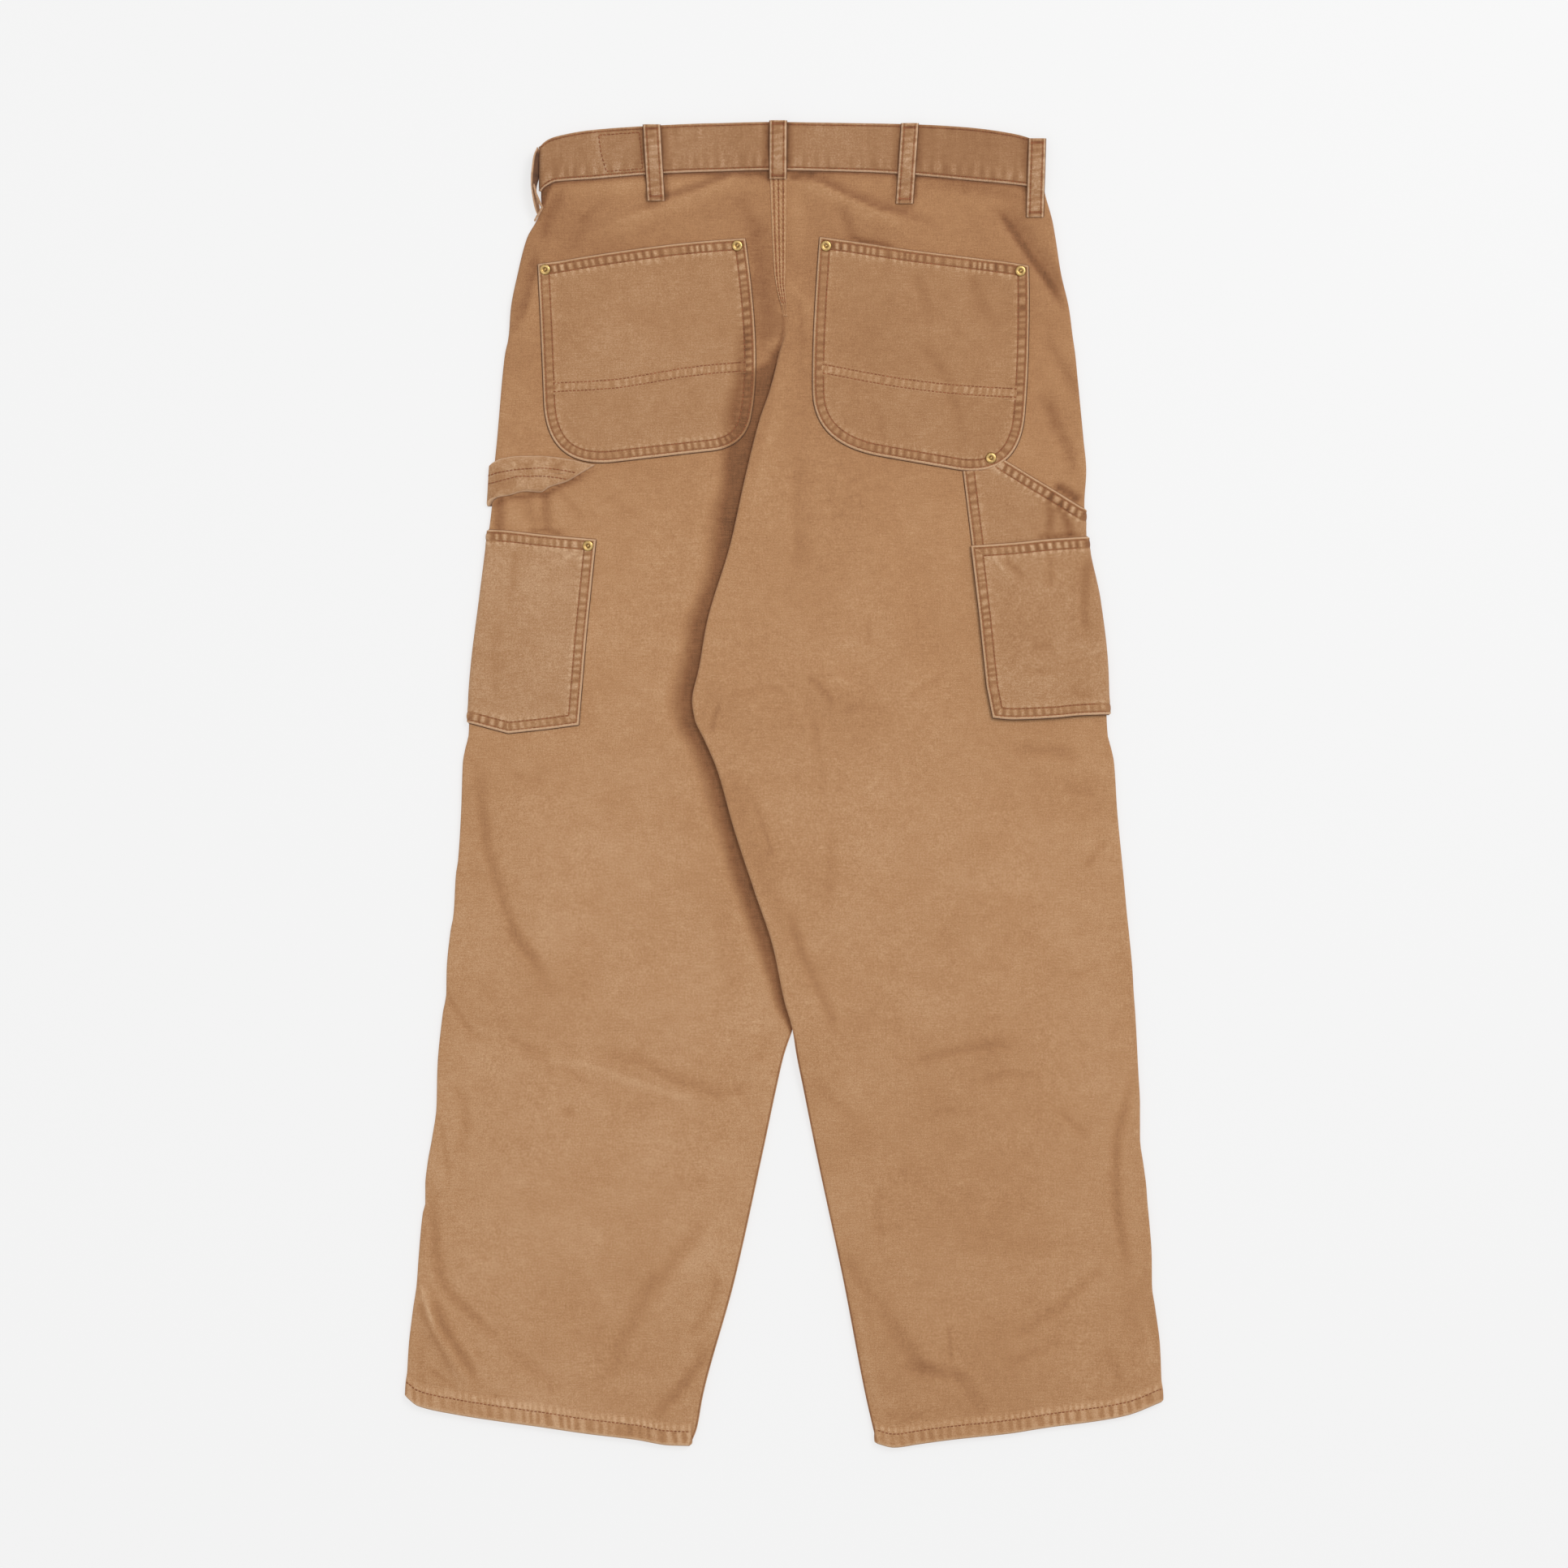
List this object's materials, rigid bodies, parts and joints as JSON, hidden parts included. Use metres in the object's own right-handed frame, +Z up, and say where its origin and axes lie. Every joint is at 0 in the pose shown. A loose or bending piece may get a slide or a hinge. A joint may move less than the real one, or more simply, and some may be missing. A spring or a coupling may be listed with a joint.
{
  "type": "carpenter pants, laid flat",
  "caption": "Straight-leg work pants in washed tan duck, laid flat with the back up: waistband with loops, patch pockets, hammer loop, ruler pocket and brass rivets.",
  "frame": {"origin": "on the surface it lies on, under the middle of its outline", "axes": "+Z up, out of the back of the pants; +Y from the hems to the waist; +X to the right seen from above, which is the wearer's right"},
  "size_m": [0.606, 1.0626, 0.0116],
  "materials": {
    "duck": "washed cotton duck, matte, with rust brown topstitching",
    "thread": "rust brown cotton thread",
    "brass": "polished brass with a dull dimple"
  },
  "bodies": {
    "root": {"back_left": "duck", "back_right": "duck", "front_left": "duck", "front_right": "duck", "waistband": "duck", "back_pocket_left": "duck", "back_pocket_right": "duck", "hammer_loop": "duck", "utility_pocket_left": "duck", "ruler_pocket": "duck", "utility_pocket_right": "duck", "belt_loop_back_left": "duck", "belt_loop_centre": "duck", "belt_loop_back_right": "duck", "belt_loop_side_right": "duck", "belt_loop_side_left": "duck", "rivet_pocket_left_outer": "brass", "rivet_pocket_left_inner": "brass", "rivet_pocket_right_inner": "brass", "rivet_pocket_right_outer": "brass", "rivet_pocket_right_corner": "brass", "rivet_utility_left": "brass", "waist_button": "brass"}
  },
  "joints": []
}
